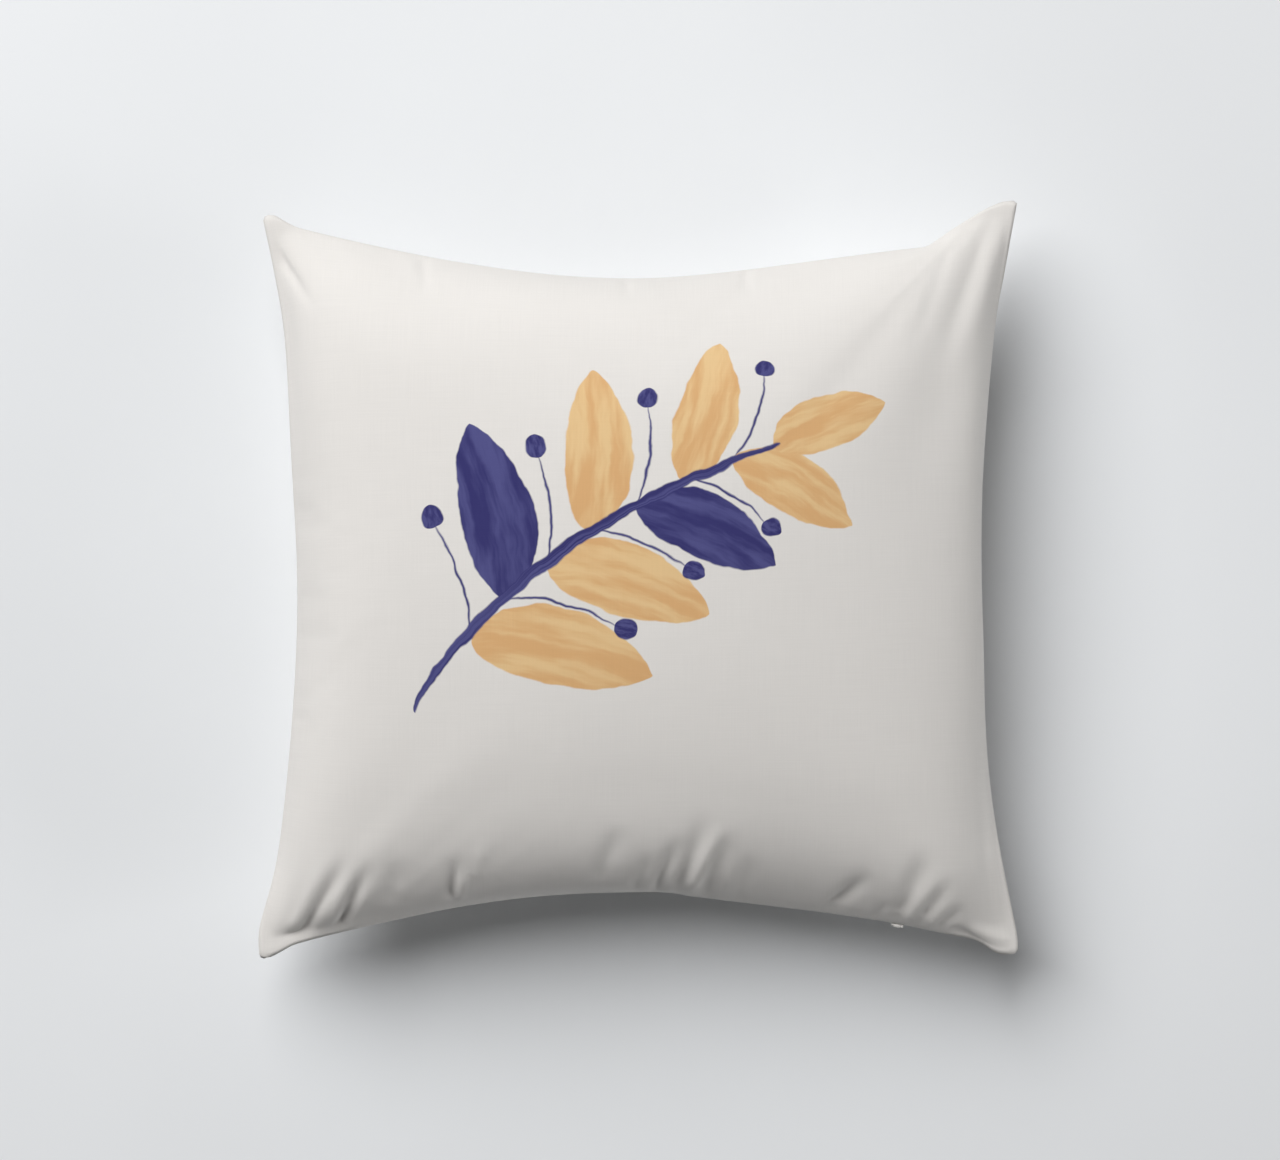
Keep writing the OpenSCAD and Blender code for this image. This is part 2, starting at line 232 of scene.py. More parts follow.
class CushionCover(PropertyGroup):
    """Cut, filling and cloth of the cover."""

    cut_w: metres("Cut width", "Width of each panel between its seams, laid flat", 0.456, 0.4, 0.55)
    cut_h: metres("Cut height", "Height of each panel between its seams, laid flat", 0.442, 0.4, 0.55)
    waist_x: metres("Side waist", "How far each panel's sides are cut in at half height", 0.003, 0, 0.02)
    waist_y: metres("End waist", "How far each panel's ends are cut in at half width", 0.015, 0, 0.03)
    volume: real(
        "Volume", "Volume that the filling presses the cover out to", 0.0143, 0.008, 0.02, unit="VOLUME")
    shoulder: real("Shoulder", "How full the shoulders are: a lower value fills them more", 0.92, 0.6, 1)
    cells: whole("Cells", "Cells along each edge of the simulated cloth", 60, 20, 140)
    frames: whole("Frames", "Frames that the cloth simulation runs for", 22, 12, 60)
    fine_cells: whole("Fine cells", "Cells along each edge of the finished cloth", 200, 40, 240)
    cloth_t: metres("Cloth thickness", "Thickness of the cover's cloth", 0.0008, 0.0004, 0.0012)
    allowance: metres("Seam allowance", "Width of the cloth turned inside at the seam", 0.010, 0.006, 0.014)
    lip: metres(
        "Seam lip", "How far each panel stands off the seam before it turns in", 0.0011, 0.0005, 0.002)
    slit: metres("Zip slit", "Gap between the two folded edges along the zip", 0.0012, 0.001, 0.002)
    pitch: real("Weave pitch", "Distance between two neighbouring yarns, in millimetres", 0.55, 0.3, 1.2)
    color: tint("Cloth", "Colour of the cover's cloth", (0.755, 0.73, 0.70))


class CushionPrint(PropertyGroup):
    """The sprig that is printed on the front."""

    centre: FloatVectorProperty(
        name="Centre", description="Middle of the printed field on the flat cloth, in millimetres",
        default=(-34, 15), size=2)
    stem_l: real("Stem length", "Length of the sprig's stem, in millimetres", 258, 100, 340)
    stem_w: real("Stem width", "Width of the stem at its thickest, in millimetres", 7.5, 2, 14)
    stem_turn: FloatProperty(
        name="Stem turn", description="Angle that the stem climbs at",
        default=math.radians(36), subtype="ANGLE")
    stem_bow: real("Stem bow", "How far the stem bows out at its middle, in millimetres", 24, 0, 60)
    leaves: whole("Leaves", "Leaves along the stem, left and right in turn", 7, 3, 15)
    leaf_l: real("Leaf length", "Length of the lowest leaf, in millimetres", 114, 30, 140)
    leaf_w: real("Leaf width", "Width of the lowest leaf, in millimetres", 49, 10, 70)
    ochre: tint("Ochre", "Main colour of the leaves", (0.68, 0.40, 0.18))
    sand: tint("Sand", "Paler paint that shows between the leaves' strokes", (0.76, 0.53, 0.27))
    navy: tint("Navy", "Colour of the stem, the berries and the dark leaves", (0.030, 0.028, 0.135))
    slate: tint("Slate", "Paler paint that shows between the dark strokes", (0.075, 0.075, 0.225))


class CushionInside(PropertyGroup):
    """The insert's case and its fibre."""

    case_share: real(
        "Case share", "Share of the cover that the insert's case reaches out to",
        0.93, 0.85, 0.96, subtype="FACTOR")
    fill_share: real(
        "Fill share", "Share of the cover that the fibre reaches out to", 0.89, 0.8, 0.94, subtype="FACTOR")
    gap: metres(
        "Gap", "Gap from the cover to the case, and from the case to the fibre", 0.002, 0.001, 0.005)
    case_t: metres("Case thickness", "Thickness of the case's cloth", 0.0006, 0.0003, 0.001)
    cells: whole("Cells", "Cells along each edge of the case and of the fibre", 96, 30, 140)
    clump: metres("Clumps", "Height of the fibre's clumps", 0.0012, 0, 0.003)
    case_color: tint("Case", "Colour of the insert's case", (0.80, 0.80, 0.79))
    fibre_color: tint("Fibre", "Colour of the fibre", (0.86, 0.86, 0.85))


class CushionThread(PropertyGroup):
    """Stitches of the seams."""

    stitch_l: metres("Stitch", "Length of one stitch", 0.003, 0.002, 0.006)
    radius: metres("Radius", "Radius of the thread", 0.0003, 0.0002, 0.0005)
    inset: metres("Inset", "Distance of the stitches from the seam's edge", 0.0025, 0.0015, 0.005)
    color: tint("Thread", "Colour of the sewing thread", (0.78, 0.76, 0.73))


class CushionZip(PropertyGroup):
    """Coils, tapes, slider and pull of the zip."""

    coil_pitch: metres("Coil pitch", "Distance between two loops of a coil", 0.0016, 0.001, 0.003)
    wire_r: metres(
        "Coil wire", "Radius of the nylon wire that a coil is wound from", 0.00034, 0.0002, 0.0005)
    pull_bevel: metres("Pull rounding", "Rounding of the pull's edges", 0.00028, 0.0001, 0.0004)
    color: tint("Zip", "Colour of the tapes, the coils and the lacquer", (0.71, 0.69, 0.66))


class CushionStage(PropertyGroup):
    """Floor, light and camera."""

    floor_size: metres("Floor", "Width of the floor", 12, 2, 40)
    floor_color: tint("Floor colour", "Colour of the floor", (0.80, 0.815, 0.83))
    light_away: metres("Light distance", "Distance of the softbox from the cushion", 4.2, 1, 10)
    light_size: metres("Softbox", "Width of the softbox", 3.7, 0.2, 6)
    light_power: real("Light power", "Power of the softbox", 226, 10, 1000, unit="POWER")
    card_power: real(
        "Card power", "Power of the bounce card across from the softbox", 50, 0, 200, unit="POWER")
    fill: real("Fill", "Strength of the light that comes evenly from all round", 0.005, 0, 1)
    camera_h: metres("Camera height", "Height of the camera above the floor", 2.6, 1, 6)
    view_w: metres("View width", "Width of the view at the height of the seam", 0.746, 0.4, 2)
    view_centre: FloatVectorProperty(
        name="View centre", description="Place that the camera looks straight down on",
        default=(0.0003, 0.0012), size=2, unit="LENGTH")


SETTINGS = {
    "cushion_cover": CushionCover,
    "cushion_print": CushionPrint,
    "cushion_inside": CushionInside,
    "cushion_thread": CushionThread,
    "cushion_zip": CushionZip,
    "cushion_stage": CushionStage,
}


# Outline of the seam and shape of the cloth


def run_lengths(line):
    """Length of a line from its start to each of its points."""
    return np.concatenate([[0], np.cumsum(np.linalg.norm(np.diff(line, axis=0), axis=1))])


def edge_curve(points, places):
    """Places from -1 to 1 along an edge, on a smooth curve through its points."""
    runs = len(points) - 1
    fine = np.linspace(-1, 1, 12 * runs + 1)
    line = spline_weights(runs, fine) @ np.array(points, float) * MM
    lengths = run_lengths(line)
    share = 2 * lengths / lengths[-1] - 1
    return np.stack([np.interp(places, share, line[:, axis]) for axis in (0, 1)], axis=-1)


def plan(across, up):
    """The patch that the four edges span, for places from -1 to 1 across and up it."""
    right = ((across + 1) / 2)[..., None]
    top = ((up + 1) / 2)[..., None]
    corners = [np.array(point, float) * MM
               for point in (ZIP_EDGE[0], ZIP_EDGE[-1], TOP_EDGE[0], TOP_EDGE[-1])]
    return (
        (1 - top) * edge_curve(ZIP_EDGE, across)
        + top * edge_curve(TOP_EDGE, across)
        + (1 - right) * edge_curve(LEFT_EDGE, up)
        + right * edge_curve(RIGHT_EDGE, up)
        - (1 - right) * (1 - top) * corners[0]
        - right * (1 - top) * corners[1]
        - (1 - right) * top * corners[2]
        - right * top * corners[3]
    )


def even_grid(cells):
    """Even places across and up a panel, from -1 to 1."""
    along = np.linspace(-1, 1, cells + 1)
    return np.meshgrid(along, along)


def flat_cut(across, up, cover):
    """Places on a panel laid flat, which is cut in a little at its waist."""
    x = across * (cover.cut_w / 2 - cover.waist_x * (1 - up**2))
    y = up * (cover.cut_h / 2 - cover.waist_y * (1 - across**2))
    return np.stack([x, y], axis=-1)


def quads(ids):
    """Faces of a grid of point numbers."""
    corners = [ids[:-1, :-1], ids[:-1, 1:], ids[1:, 1:], ids[1:, :-1]]
    return np.stack(corners, axis=-1).reshape(-1, 4)


def on_edge(cells):
    """Which points of a grid lie on its edge."""
    across, up = even_grid(cells)
    return np.maximum(np.abs(across), np.abs(up)) == 1


def closed_body(front, back, edge):
    """Points and faces of two halves that share their edge, and each half's point numbers."""
    front_ids = point_ids(len(front) - 1)
    back_ids = front_ids.copy()
    back_ids[~edge] = front_ids.size + np.arange(np.count_nonzero(~edge))
    points = np.concatenate([front.reshape(-1, 3), back[~edge]])
    faces = np.concatenate([quads(front_ids), quads(back_ids)[:, ::-1]])
    return points, faces, (front_ids, back_ids)


def cloth_settings(bag, cover):
    """Cloth that is pressed out to the volume of its filling."""
    cloth = bag.modifiers.new("Cloth", "CLOTH")
    cloth.collision_settings.use_collision = False
    cloth.point_cache.frame_start = 1
    cloth.point_cache.frame_end = cover.frames
    set_all(cloth.settings, COTTON)
    cloth.settings.vertex_group_mass = "seam"
    cloth.settings.target_volume = cover.volume
    cloth.settings.effector_weights.gravity = 0


def filled_cover(cover):
    """Front and back as grids of points: two flat panels, sewn together and filled by simulation."""
    across, up = even_grid(cover.cells)
    seam = on_edge(cover.cells)
    puff = PUFF * np.sqrt(np.maximum(0, (1 - across**2) * (1 - up**2)))
    uneven = np.random.default_rng(5).normal(0, UNEVEN, (2, *across.shape)) * ~seam
    flat = flat_cut(across, up, cover)
    front = np.dstack([flat, SEAM_H + puff + uneven[0]])
    back = np.dstack([flat, SEAM_H - puff + uneven[1]])
    points, faces, sides = closed_body(front, back, seam)
    seam_ids = sides[0][seam]
    mesh = bpy.data.meshes.new("bag")
    mesh.from_pydata(points.tolist(), [], faces.tolist())
    bag = placed("bag", mesh)
    bag.vertex_groups.new(name="seam").add(seam_ids.tolist(), 1, "REPLACE")
    sewn = points.copy()
    sewn[seam_ids, :2] = plan(across[seam], up[seam])
    bag.shape_key_add(name="flat")
    key = bag.shape_key_add(name="sewn")
    key.data.foreach_set("co", sewn.ravel())
    for value, time in ((0, 1), (1, 12)):
        key.value = value
        key.keyframe_insert("value", frame=time)
    cloth_settings(bag, cover)
    scene = bpy.context.scene
    for time in range(1, cover.frames + 1):
        scene.frame_set(time)
    done = bag.evaluated_get(bpy.context.evaluated_depsgraph_get()).data
    filled = np.empty(points.size)
    done.vertices.foreach_get("co", filled)
    scene.frame_set(1)
    action = mesh.shape_keys.animation_data.action
    bpy.data.objects.remove(bag)
    bpy.data.meshes.remove(mesh)
    bpy.data.actions.remove(action)
    filled = filled.reshape(-1, 3)
    return [fuller(evened(filled[ids]), way, cover) for ids, way in zip(sides, (1, -1))]


def evened(grid, rounds=20):
    """A simulated panel with its small ripples stroked out, mostly along the nearest seam."""
    across, up = even_grid(len(grid) - 1)
    inner = (slice(1, -1), slice(1, -1))
    beside_share, above_share = [
        STROKE + (1 - STROKE) * np.abs(part[inner])[..., None] ** 3 for part in (up, across)]
    even = grid.copy()
    for _ in range(rounds):
        beside = (even[1:-1, :-2] + even[1:-1, 2:]) / 2 - even[inner]
        above = (even[:-2, 1:-1] + even[2:, 1:-1]) / 2 - even[inner]
        even[inner] += (beside_share * beside + above_share * above) / 2
    return even + RIPPLES * (grid - even)


def fuller(grid, way, cover):
    """A panel with its shoulders raised, as loose fibre fills them more than even pressure does."""
    height = np.maximum(way * (grid[..., 2] - SEAM_H), 0)
    crown = height.max()
    return np.dstack([grid[..., :2], SEAM_H + way * crown * (height / crown) ** cover.shoulder])


def drooped(points):
    """Points with the lower right corner bent down a little."""
    away = np.hypot(points[..., 0] - DROOP_AT[0], points[..., 1] - DROOP_AT[1])
    bent = points.copy()
    bent[..., 2] -= DROOP * (1 - smooth_step(away, 0, DROOP_SPAN))
    return bent


def spline_weights(cells, places):
    """Weights that carry a grid's even values to other places, by a smooth curve through them."""
    place = (np.asarray(places) + 1) / 2 * cells
    start = np.clip(place.astype(int), 0, cells - 1)
    t = place - start
    shares = (
        (-t + 2 * t**2 - t**3) / 2,
        (2 - 5 * t**2 + 3 * t**3) / 2,
        (t + 4 * t**2 - 3 * t**3) / 2,
        (t**3 - t**2) / 2,
    )
    weights = np.zeros((len(place), cells + 1))
    for row, first in enumerate(start):
        for offset, share in zip((-1, 0, 1, 2), shares):
            column = first + offset
            inside = min(max(column, 0), cells)
            if column == inside:
                weights[row, column] += share[row]
            else:
                weights[row, inside] += 2 * share[row]
                weights[row, 2 * inside - column] -= share[row]
    return weights


def resampled(grid, places):
    """A grid of points taken at other places, the same across and up."""
    weights = spline_weights(len(grid) - 1, places)
    return np.einsum("ai,bj,ijk->abk", weights, weights, grid, optimize=True)


def normals(grid, way):
    """Outward directions of a front, with way 1, or of a back, with way -1."""
    facing = way * np.cross(np.gradient(grid, axis=1), np.gradient(grid, axis=0))
    return facing / np.maximum(np.linalg.norm(facing, axis=2, keepdims=True), 1e-12)


def smooth_step(values, low, high):
    """Zero below low, one above high, and a soft rise between them."""
    t = np.clip((values - low) / (high - low), 0, 1)
    return t * t * (3 - 2 * t)


def from_seam(cells, cover):
    """Distance of a panel's even places from its nearest seam, on the flat cloth."""
    across, up = even_grid(cells)
    return np.minimum((1 - np.abs(across)) * cover.cut_w, (1 - np.abs(up)) * cover.cut_h) / 2


def fold_heights(places, cover):
    """Height of the folds over the front, for places in plan. They leave the seam in place."""
    total = np.zeros(places.shape[:2])
    for start_x, start_y, end_x, end_y, width, height in FOLDS:
        start = np.array((start_x, start_y)) * MM
        run = np.array((end_x, end_y)) * MM - start
        offset = places - start
        along = offset @ run / (run @ run)
        aside = (offset[..., 0] * run[1] - offset[..., 1] * run[0]) / math.hypot(*run)
        spread = width * MM * (0.75 + 0.5 * np.clip(along, 0, 1))
        taper = smooth_step(along, *FOLD_START) * (1 - smooth_step(along, *FOLD_END))
        total += height * MM * np.exp(-((aside / spread) ** 2)) * taper
    return total * smooth_step(from_seam(len(places) - 1, cover), 0, FOLD_FADE)


def settled(heights, soft=6 * MM):
    """Heights pressed flat where they would reach below the surface, with a soft start."""
    low = np.maximum(heights + soft, 0) ** 2 / (4 * soft)
    return np.where(heights > soft, heights, low)


def point_ids(cells):
    """Point numbers of a grid."""
    return np.arange((cells + 1) ** 2).reshape(cells + 1, cells + 1)


def border(ids):
    """The outer places of a grid in order, from the zip edge's left end round to the right."""
    return np.concatenate([ids[0, :-1], ids[:-1, -1], ids[-1, :0:-1], ids[:0:-1, 0]])


def seam_ring(cells):
    """Numbers of a panel's points along its seam, and their places from -1 to 1."""
    edge = border(point_ids(cells))
    return edge, np.stack(even_grid(cells), axis=-1).reshape(-1, 2)[edge]


def inset_line(places, margin):
    """The seam's outline moved in by margin, at the border's places."""
    shrink = 1 - np.asarray(margin) / HALF_SPAN
    return plan(places[:, 0] * shrink, places[:, 1] * shrink)


def zip_share(points):
    """One along the zip's slit and zero where the seam is sewn."""
    past = smooth_step(np.abs(points[..., 0]), ZIP_HALF, ZIP_HALF + SLIT_FADE)
    return (points[..., 1] < ZIP_BELOW) * (1 - past)


def off_zip_edge(grid):
    """Distance of a panel's places from its zip edge."""
    return grid[..., 1] - np.interp(grid[..., 0], grid[0, :, 0], grid[0, :, 1])


def needed_height(grid, cover):
    """Height off the seam at which a panel clears its allowance, which stands along the zip."""
    away = from_seam(len(grid) - 1, cover)
    thick = 2.3 * cover.cloth_t
    rise = cover.lip + (thick - cover.lip) * (1 - np.exp(-away / RISE_RUN))
    stand = np.clip(off_zip_edge(grid), 0, STAND_W) * math.tan(ALLOWANCE_TILT)
    return rise + zip_share(grid) * stand


def rolled_out(grid, way, cover):
    """A panel that rolls out over the zip edge by what its allowance there needs."""
    away = off_zip_edge(grid)
    short = needed_height(grid, cover) + ROLL_SPARE - way * (grid[..., 2] - SEAM_H)
    lift = np.max(np.where((away < ROLL_BAND) & (zip_share(grid) > 0), short, 0), axis=0)
    span = 2 * ROLL_REACH + 1
    window = np.lib.stride_tricks.sliding_window_view
    lift = window(np.pad(lift, ROLL_REACH), span).max(axis=1)
    kernel = np.hanning(span + 2)[1:-1]
    lift = window(np.pad(lift, ROLL_REACH), span) @ kernel / kernel.sum()
    belly = smooth_step(away, *ROLL_GROW) * (1 - smooth_step(away, *ROLL_FADE))
    rolled = grid.copy()
    rolled[..., 2] += way * lift * belly
    return rolled


def cleared(grid, way, cover):
    """Keeps a panel off its own allowance, with a soft change from one to the other."""
    height = way * (grid[..., 2] - SEAM_H)
    need = needed_height(grid, cover)
    soft = 0.8 * MM
    kept = (height + need + np.hypot(height - need, soft)) / 2
    return np.dstack([grid[..., :2], SEAM_H + way * kept])


def sheet_piece(name, points, faces, flat, thickness):
    """Cloth with a thickness, from a sheet of points and the same points on the flat cloth."""
    mesh = bpy.data.meshes.new(name)
    mesh.from_pydata(drooped(points).tolist(), [], [list(face) for face in faces])
    corners = np.empty(len(mesh.loops), int)
    mesh.loops.foreach_get("vertex_index", corners)
    places = mesh.uv_layers.new(name="cloth")
    places.data.foreach_set("uv", (flat[corners] / CLOTH_SPAN + 0.5).ravel())
    piece = placed(name, mesh)
    only(piece)
    if thickness:
        apply_modifier(piece, "SOLIDIFY", thickness=thickness, offset=-1)
    bpy.ops.object.shade_smooth()
    return piece


def strip(upper, lower):
    """Faces between two closed rows of point numbers."""
    return np.stack([upper, lower, np.roll(lower, -1), np.roll(upper, -1)], axis=-1)


def cover_panel(name, way, grid, cover):
    """One panel of the cover: its face, its folded edge and its turned-in allowance."""
    across, up = even_grid(cover.fine_cells)
    flat = flat_cut(across, up, cover).reshape(-1, 2)
    face = cleared(grid, way, cover)
    edge, seam = seam_ring(cover.fine_cells)
    open_share = zip_share(face.reshape(-1, 3)[edge])
    gap = SEAM_GAP + open_share * cover.slit / 2
    tilt = ALLOWANCE_TILT * open_share
    # Rows of the edge: how far in from the seam's outline, and how far off the seam's plane
    rows = (
        (0.2 * MM, gap + 0.55 * (cover.lip - gap)),
        (0.6 * MM, gap + 0.15 * (cover.lip - gap)),
        (1.3 * MM, gap),
        (1.3 * MM + cover.allowance * np.cos(tilt), gap + cover.allowance * np.sin(tilt)),
    )
    points, places = [face.reshape(-1, 3)], [flat]
    faces = [quads(point_ids(cover.fine_cells))]
    last = edge
    for number, (margin, height) in enumerate(rows):
        line = inset_line(seam, margin)
        points.append(np.column_stack([line, SEAM_H + way * height]))
        places.append(flat[edge] * (1 + ROW_STEP * (number + 1)))
        row = across.size + number * len(edge) + np.arange(len(edge))
        faces.append(strip(last, row))
        last = row
    return sheet_piece(name, np.concatenate(points), np.concatenate(faces)[:, ::way],
                       np.concatenate(places), cover.cloth_t)


def inner_half(way, grid, share, gap, cells):
    """A crowned half that lies inside the cover, down to the seam's plane at its own edge."""
    across, up = even_grid(cells)
    inner = resampled(grid, np.linspace(-share, share, cells + 1))
    inner -= gap * normals(inner, way)
    fullness = np.sqrt((1 - across**6) * (1 - up**6))
    inner[..., 2] = SEAM_H + (inner[..., 2] - SEAM_H) * fullness
    return inner


# Helpers for pieces


def placed(name, data):
    """A new object in the scene."""
    made = bpy.data.objects.new(name, data)
    bpy.context.collection.objects.link(made)
    return made


def set_all(thing, values):
    """Sets several values of one thing by their names."""
    for name, value in values.items():
        setattr(thing, name, value)


def only(piece):
    """Selects one piece and nothing else."""
    bpy.ops.object.select_all(action="DESELECT")
    piece.select_set(True)
    bpy.context.view_layer.objects.active = piece


def apply_modifier(piece, kind, **values):
    """Adds a modifier with its values to a piece, and applies it."""
    only(piece)
    made = piece.modifiers.new(kind.title(), kind)
    set_all(made, values)
    bpy.ops.object.modifier_apply(modifier=made.name)


def ring(name, segments, sides, radius, wire, scale):
    """A loop of wire round the X axis, stretched along the axes."""
    bpy.ops.object.select_all(action="DESELECT")
    bpy.ops.mesh.primitive_torus_add(
        major_segments=segments, minor_segments=sides, major_radius=radius, minor_radius=wire,
        rotation=(0, math.pi / 2, 0))
    loop = bpy.context.object
    loop.name = name
    bpy.ops.object.transform_apply(rotation=True)
    loop.scale = scale
    bpy.ops.object.transform_apply(scale=True)
    return loop


def finish_piece(piece, body, slot, material, *nodes):
    """Gives a piece its finish and its body, and lets it stand for its nodes."""
    piece.data.materials.clear()
    piece.data.materials.append(material)
    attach(piece, body)
    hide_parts(*nodes)
    return piece


def finish_node(name, material):
    """Gives a CAD node its finish."""
    node = frame["nodes"][name]
    node.data.materials.clear()
    node.data.materials.append(material)


# Helpers for materials


def new_node(tree, kind, settings=None, inputs=None):
    """Adds a node, sets its options, and sets or links its inputs."""
    made = tree.nodes.new(kind)
    set_all(made, settings or {})
    for name, value in (inputs or {}).items():
        if isinstance(value, bpy.types.NodeSocket):
            tree.links.new(value, made.inputs[name])
        else:
            made.inputs[name].default_value = value
    return made


def calc(tree, operation, *values, clamp=False):
    """Result of a Math node."""
    settings = {"operation": operation, "use_clamp": clamp}
    return new_node(tree, "ShaderNodeMath", settings, dict(enumerate(values))).outputs[0]


def vector_calc(tree, operation, *values):
    """Result of a Vector Math node."""
    settings = {"operation": operation}
    return new_node(tree, "ShaderNodeVectorMath", settings, dict(enumerate(values))).outputs[0]


def scaled(tree, vector, factors):
    """A vector times three factors."""
    return vector_calc(tree, "MULTIPLY", vector, factors)


def noise(tree, vector, scale, detail=2.0, roughness=0.5):
    """Value of a noise texture."""
    inputs = {"Vector": vector, "Scale": scale, "Detail": detail, "Roughness": roughness}
    return new_node(tree, "ShaderNodeTexNoise", None, inputs).outputs["Fac"]


def mixed(tree, share, first, second, blend="MIX"):
    """Mix of two colours."""
    settings = {"data_type": "RGBA", "blend_type": blend}
    made = new_node(tree, "ShaderNodeMix", settings, {0: share, 6: first, 7: second})
    return made.outputs[2]


def ranged(tree, value, low, high, to_low=0.0, to_high=1.0):
    """A value carried from one range to another, held at the ends."""
    inputs = {0: value, 1: low, 2: high, 3: to_low, 4: to_high}
    return new_node(tree, "ShaderNodeMapRange", {"interpolation_type": "SMOOTHSTEP"},
                    inputs).outputs[0]


def rgba(color):
    """A colour with full alpha."""
    return (*color, 1.0)


def new_group(name, inputs, outputs):
    """A shader node group that takes a vector and values, and its inner ends."""
    tree = bpy.data.node_groups.new(name, "ShaderNodeTree")
    sockets = tree.interface
    sockets.new_socket("Vector", in_out="INPUT", socket_type="NodeSocketVector")
    for label, default in inputs.items():
        made = sockets.new_socket(label, in_out="INPUT", socket_type="NodeSocketFloat")
        made.default_value = default
    for label in outputs:
        sockets.new_socket(label, in_out="OUTPUT", socket_type="NodeSocketFloat")
    return (tree, tree.nodes.new("NodeGroupInput").outputs,
            tree.nodes.new("NodeGroupOutput").inputs)


def use_group(tree, name, build, inputs):
    """Outputs of a group in a material, with values of its own. The group is built only once."""
    group = bpy.data.node_groups.get(name) or build(name)
    return new_node(tree, "ShaderNodeGroup", {"node_tree": group}, inputs).outputs


def new_material(name):
    """An empty node material, its tree and its shader."""
    material = bpy.data.materials.new(name)
    material.use_nodes = True
    tree = material.node_tree
    return material, tree, tree.nodes["Principled BSDF"]


def set_constants(shader, values):
    """Values that are the same all over a surface, on the shader's own sockets."""
    for name, value in values.items():
        shader.inputs[name].default_value = value


def toned(tree, shader, color, value, shades, roughs):
    """Colour and roughness that both follow one value, each over a range of its own."""
    shade = ranged(tree, value, 0.3, 0.7, *shades)
    tree.links.new(mixed(tree, 1.0, color, shade, "MULTIPLY"), shader.inputs["Base Color"])
    tree.links.new(ranged(tree, value, 0.3, 0.7, *roughs), shader.inputs["Roughness"])


def bump(tree, shader, height, distance, strength=1.0):
    """Bumps a surface by a height."""
    made = new_node(tree, "ShaderNodeBump", None,
                    {"Height": height, "Distance": distance, "Strength": strength})
    tree.links.new(made.outputs[0], shader.inputs["Normal"])


def cloth_places(tree):
    """Places on the flat cloth, in millimetres from its middle."""
    places = new_node(tree, "ShaderNodeUVMap", {"uv_map": "cloth"}).outputs[0]
    centred = vector_calc(tree, "SUBTRACT", places, (0.5, 0.5, 0))
    return scaled(tree, centred, [CLOTH_SPAN / MM] * 3)


def object_places(tree):
    """Places in the frame, in millimetres."""
    places = new_node(tree, "ShaderNodeTexCoord").outputs["Object"]
    return scaled(tree, places, [1 / MM] * 3)


def plain_weave(name):
    """Group: over-and-under yarns, and the uneven tone of spun yarn, on places in millimetres."""
    tree, given, made = new_group(name, {"Pitch": 0.5}, ("Height", "Tone"))
    turn = calc(tree, "DIVIDE", math.pi, given["Pitch"])
    split = new_node(tree, "ShaderNodeSeparateXYZ", None, {0: given["Vector"]}).outputs
    warp = calc(tree, "SINE", calc(tree, "MULTIPLY", split[0], turn))
    weft = calc(tree, "SINE", calc(tree, "MULTIPLY", split[1], turn))
    crossing = calc(tree, "ABSOLUTE", calc(tree, "MULTIPLY", warp, weft))
    tree.links.new(calc(tree, "POWER", crossing, 0.6), made["Height"])
    across = noise(tree, scaled(tree, given["Vector"], (0.03, 1.6, 0)), 1.0, 3.0)
    along = noise(tree, scaled(tree, given["Vector"], (1.6, 0.03, 0)), 1.0, 3.0)
    tree.links.new(calc(tree, "MULTIPLY_ADD", across, 0.5, calc(tree, "MULTIPLY", along, 0.5)),
                   made["Tone"])
    return tree


def weave_at(tree, places, pitch):
    """Height and tone of the plain weave."""
    return use_group(tree, "Plain weave", plain_weave, {"Vector": places, "Pitch": pitch})


def painted_shape(name):
    """Group: a brushed shape one unit long and wide, and the strokes along it."""
    inputs = {"Bend": 0.0, "Fullness": 1.0, "Sharpness": 40.0, "Seed": 0.0}
    tree, given, made = new_group(name, inputs, ("Mask", "Stroke"))
    split = new_node(tree, "ShaderNodeSeparateXYZ", None, {0: given["Vector"]}).outputs
    along = calc(tree, "POWER", calc(tree, "ADD", split[0], 0.0, clamp=True), 0.85)
    arch = calc(tree, "MULTIPLY", calc(tree, "MULTIPLY", along, 4.0),
                calc(tree, "SUBTRACT", 1.0, along))
    half = calc(tree, "MULTIPLY", calc(tree, "POWER", arch, given["Fullness"]), 0.5)
    bent = calc(tree, "SUBTRACT", split[1], calc(tree, "MULTIPLY", arch, given["Bend"]))
    inside = calc(tree, "SUBTRACT", half, calc(tree, "ABSOLUTE", bent))
    tree.links.new(calc(tree, "MULTIPLY", inside, given["Sharpness"], clamp=True), made["Mask"])
    brushed = new_node(tree, "ShaderNodeCombineXYZ", None, {
        0: calc(tree, "MULTIPLY", split[0], 1.8),
        1: calc(tree, "MULTIPLY", bent, 5.0),
        2: given["Seed"]}).outputs[0]
    strokes = noise(tree, brushed, 1.0, 3.0, 0.55)
    tree.links.new(ranged(tree, strokes, 0.36, 0.66), made["Stroke"])
    return tree


